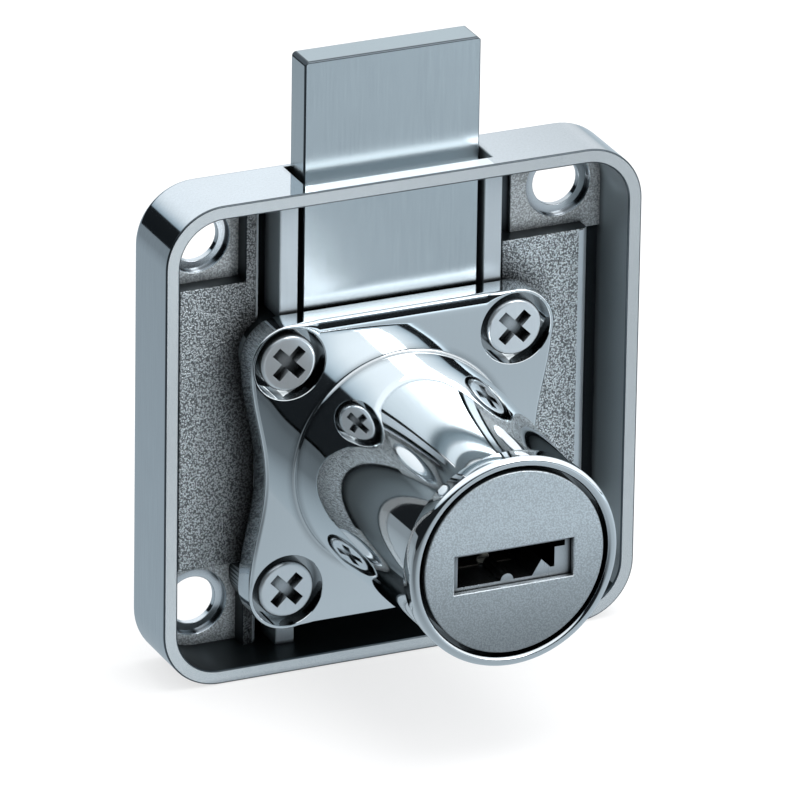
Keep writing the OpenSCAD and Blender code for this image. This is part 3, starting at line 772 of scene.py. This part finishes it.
def growRing(bm, edges, r, y, x=0.0, z=0.0):
    # extrudes a loop of edges and draws its new vertices to a circle about x, z
    out = bmesh.ops.extrude_edge_only(bm, edges=edges)["geom"]
    verts = newVerts(out)
    for v in verts:
        co = v.co / mm
        a = math.atan2(co[2] - z, co[0] - x)
        v.co = Vector((x + r * math.cos(a), y, z + r * math.sin(a))) * mm
    return edgesAmong(out, set(verts))


def quarterTurn(steps, first=1):
    return [math.pi / 2 * k / steps for k in range(first, steps + 1)]


def flangeOutline(s):
    # four lobes joined by straight ends and by sides that draw in as one smooth wave
    h, full = s["half"], s["half"] + s["lobeR"]
    heights = [h * (2 * k / s["waveSteps"] - 1) for k in range(1, s["waveSteps"])]
    wave = [(full - s["waist"] * (1 + math.cos(math.pi * z / h)) / 2, z) for z in heights if z >= 0]
    turns = [math.radians(s["lobeStep"] * k) for k in range(s["lobeSteps"] + 1)]
    lobe = [(h + s["lobeR"] * math.cos(a), h + s["lobeR"] * math.sin(a)) for a in turns]
    end = [(h * (1 - k / s["endSteps"]), full) for k in range(1, s["endSteps"])]
    quarter = wave + lobe + end
    ring = quarter + [(0, full)] + [(-x, z) for x, z in reversed(quarter)]

    def isNew(x, z):
        return all(math.hypot(x - a, z - b) > s["samePoint"] for a, b in ring)

    return ring + [(x, -z) for x, z in reversed(ring) if isNew(x, -z)]


def edgeRadii(s, x, z):
    # the tight rounding and the gentle roll that have room beside the screw's pocket
    half, wide = s["half"], s["pocketR"] + s["pocketEdge"]
    sinRoll = math.sin(math.radians(s["rollTilt"]))
    if x > half and z > half:
        room = s["lobeR"] - wide
    else:
        along = min(abs(half - (x if z > half else z)), wide)
        room = s["lobeR"] - math.sqrt(wide * wide - along * along)
    edge = min(s["edgeR"], s["roomShare"] * room)
    if z > half + s["rollFrom"] and x < half:
        roll = (room - s["roomGap"] - edge * (1 - sinRoll)) / sinRoll
        return edge, min(s["rollR"], max(edge, roll))
    return edge, edge


def flangeSection(s, edge, roll):
    # from the flange's back round its side to its face, as inset and depth
    back = min(s["backR"], s["backShare"] * edge)
    tilt, face = math.radians(s["rollTilt"]), s["flangeFace"]
    drop = roll * (1 - math.cos(tilt))
    out = [(back * (1 - math.sin(a)), s["flangeBack"] - back * (1 - math.cos(a)))
           for a in map(math.radians, s["backTurn"])]
    out += [(edge * (1 - math.sin(a)), face + drop + edge * (math.cos(tilt) - math.cos(a)))
            for a in map(math.radians, s["tightTurn"])]
    out += [((roll - edge) * (math.sin(tilt) - math.sin(a)) + edge * (1 - math.sin(a)),
             face + roll * (1 - math.cos(a))) for a in map(math.radians, s["gentleTurn"])]
    return back, out


def growFlange(bm, s):
    # the flange's edge, from its back to its face; gives back both loops of edges
    pts = flangeOutline(s)
    count = len(pts)
    rails = []                                # at each point: the way inwards, its start and its section
    for k, (x, z) in enumerate(pts):
        (ax, az), (bx, bz) = pts[k - 1], pts[(k + 1) % count]
        size = math.hypot(bx - ax, bz - az)
        rails.append(((az - bz) / size, (bx - ax) / size, *flangeSection(s, *edgeRadii(s, abs(x), abs(z)))))

    def place(k, inset, y):
        return Vector((pts[k][0] + rails[k][0] * inset, y, pts[k][1] + rails[k][1] * inset)) * mm

    verts = [bm.verts.new(place(k, rails[k][2], s["flangeBack"])) for k in range(count)]
    back = [bm.edges.new((verts[k], verts[(k + 1) % count])) for k in range(count)]
    order, edges = {v: k for k, v in enumerate(verts)}, back
    for step in range(len(rails[0][3])):
        out = bmesh.ops.extrude_edge_only(bm, edges=edges)["geom"]
        order = {v: order[next(e.other_vert(v) for e in v.link_edges if e.other_vert(v) in order)]
                 for v in newVerts(out)}
        for v, k in order.items():
            v.co = place(k, *rails[k][3][step])
        edges = edgesAmong(out, order)
    return back, edges


def growPocket(bm, s, edges, x, z):
    # a screw's pocket with its rounded edge, down to the hole's end at the flange's back
    for a in quarterTurn(s["pocketSteps"]):
        r = s["pocketR"] + s["pocketEdge"] * (1 - math.sin(a))
        edges = growRing(bm, edges, r, s["flangeFace"] + s["pocketEdge"] * (1 - math.cos(a)), x, z)
    for r, y in (("pocketR", "pocketFloor"), ("holeR", "pocketFloor"), ("holeR", "flangeBack")):
        edges = growRing(bm, edges, s[r], s[y], x, z)
    return edges


def barrelProfile(s):
    # radius and depth, from the fillet at the flange over the lip and back through the bore
    out = [(s["rootR"] + s["fillet"] * (1 - math.sin(a)), s["flangeFace"] - s["fillet"] * (1 - math.cos(a)))
           for a in quarterTurn(s["filletSteps"])]
    out += [(s["rootR"], s["rootStart"]), (s["rootR"], s["rootEnd"])]
    rise = s["rootR"] - s["noseR"]
    out += [(s["rootR"] - rise * s["easeShare"] * t * t, s["rootEnd"] - s["easeLength"] * t)
            for t in (k / s["easeSteps"] for k in range(1, s["easeSteps"] + 1))]
    out += [(s["noseR"] + dr, s["noseEnd"] + dy) for dr, dy in s["noseFoot"]]
    out += [(s["collarR"] + dr, s["collarStart"] + dy) for dr, dy in s["collarEdge"]]
    out += [(s["collarR"] - s["lipEdge"] * (1 - math.cos(a)), s["lip"] + s["lipEdge"] * (1 - math.sin(a)))
            for a in quarterTurn(s["lipSteps"], 0)]
    inner = s["innerEdge"]
    out += [(s["headBore"] + inner * (1 - math.sin(a)), s["lip"] + inner * (1 - math.cos(a)))
            for a in quarterTurn(s["innerSteps"], 0)]
    out += [(s["headBore"], s["headEnd"])]
    out += [(s["bore"], s[k]) for k in ("headEnd", "grooveStart", "grooveEnd", "ringStart")]
    return out + [(s["ringPocket"], s["ringStart"]), (s["ringPocket"], s["flangeBack"])]


def cutGrooves(bm, s):
    # the two grooves that the wafers spring into
    for side in (-1, 1):
        walls = []
        for f in bm.faces:
            x, y, z = f.calc_center_median() / mm
            if s["grooveStart"] < y < s["grooveEnd"] and side * x > 0 and abs(z) < s["grooveHalf"]:
                if math.hypot(x, z) < s["bore"] + s["grooveSlack"]:
                    walls.append(f)
        out = bmesh.ops.extrude_face_region(bm, geom=walls)["geom"]
        bmesh.ops.delete(bm, geom=walls, context="FACES_ONLY")
        for v in newVerts(out):
            v.co.x = side * s["grooveX"] * mm
    bmesh.ops.delete(bm, geom=[e for e in bm.edges if not e.link_faces], context="EDGES")


def isFlangeSide(s, c):
    # the flange's side and the foot of its rolled ends take painted shade, as they lie in the housing's shade
    half, x, z = s["half"], abs(c[0]), abs(c[2])
    top = c[2] > half + s["topFrom"] and x < half
    deep = c[1] > s["flangeFace"] + (s["topDepth"] if top else s["sideDepth"])
    atPocket = math.hypot(x - half, z - half) < s["pocketR"] + s["pocketSlack"]
    return deep and max(x, z) > half + s["sideFrom"] and not atPocket


def makeBarrel(s):
    bm = bmesh.new()
    back, front = growFlange(bm, s)
    root = circleEdges(bm, s["rootR"] + s["fillet"], s["flangeFace"], s["sides"])
    screws = [(x * s["half"], z * s["half"]) for x in (-1, 1) for z in (-1, 1)]
    pocketR = s["pocketR"] + s["pocketEdge"]
    pockets = [circleEdges(bm, pocketR, s["flangeFace"], s["pocketSides"], x, z) for x, z in screws]
    bmesh.ops.triangle_fill(bm, use_beauty=True, edges=front + root + [e for c in pockets for e in c])
    holes = [e for c, (x, z) in zip(pockets, screws) for e in growPocket(bm, s, c, x, z)]
    ring = root
    for r, y in barrelProfile(s):
        ring = growRing(bm, ring, r, y)
    bmesh.ops.triangle_fill(bm, use_beauty=True, edges=back + ring + holes)
    bmesh.ops.remove_doubles(bm, verts=bm.verts, dist=meshSet["weld"])
    cutGrooves(bm, s)
    bmesh.ops.recalc_face_normals(bm, faces=bm.faces)
    openEdges = sum(1 for e in bm.edges if len(e.link_faces) != 2)
    mesh = bpy.data.meshes.new("barrel_body")
    bm.to_mesh(mesh)
    bm.free()
    for m in makeMetals(s["finishes"]):
        mesh.materials.append(m)
    for f in mesh.polygons:
        f.material_index = 1 if isFlangeSide(s, f.center / mm) else 0
    cleanNormals(mesh)
    ob = bpy.data.objects.new("barrel_body", mesh)
    bpy.context.scene.collection.objects.link(ob)
    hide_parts("barrel")
    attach(ob, "case")
    print("barrel_body made,", len(mesh.polygons), "faces,", openEdges, "open edges")


makeBarrel(barrelSet)

plainSet = {    # pieces that take one finish and one rounding, in millimetres
    "screw_heads": {
        "node": "flange_screws", "slot": "screw_steel", "edge": 0.07, "segments": 2,
        "finish": {"screwSteel": {"colour": (0.80, 0.86, 0.90), "rough": 0.12, "metallic": 0.7, "reach": 1.0,
                                  "depth": 2.6}},
    },
    "key_face": {
        "node": "face_cap", "slot": "face_satin", "edge": 0.13, "segments": 3,
        # painted light and shade: the key face is darker at the bottom and lighter at the top, as a domed face
        # would be lit
        "finish": {"faceSatin": {"colour": (0.78, 0.85, 0.89), "rough": 0.34, "metallic": 0.85, "reach": 0.8,
                                 "depth": 1.8, "grain": 6.5, "pitTone": 0.76, "bump": 0.5,
                                 "bumpDepth": 0.04, "paintedLightFall": ("Z", -7, 3, 0.50, 1.10)}},
    },
    "plug_core": {
        "node": "plug", "slot": "plug_chrome", "edge": 0.05, "segments": 2,
        "finish": {"plugChrome": {"colour": (0.90, 0.94, 0.97), "rough": 0.28, "reach": 3.0, "depth": 2.4}},
    },
}


def makePlain(name, s):
    bm = mergedCopy(s["node"])
    widest = roundEdges(bm, lambda mid, e: s["edge"] if e.is_convex else 0)
    finishPiece(name, s["node"], bm, makeMetals(s["finish"]), widest, s["segments"])


for pieceName, pieceSettings in plainSet.items():
    makePlain(pieceName, pieceSettings)

innerFinish = {
    "waferBrass": {"colour": (0.50, 0.48, 0.40), "rough": 0.30, "reach": 1.5, "depth": 3.0},
    "springSteel": {"colour": (0.45, 0.46, 0.48), "rough": 0.28, "reach": 1.0},
}
waferBrass, springSteel = makeMetals(innerFinish)
# the wafer springs and the retaining ring are steel, the rest is brass
for name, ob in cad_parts.items():
    ob.data.materials.clear()
    ob.data.materials.append(springSteel if "ring" in name else waferBrass)
print("inner pieces dressed")
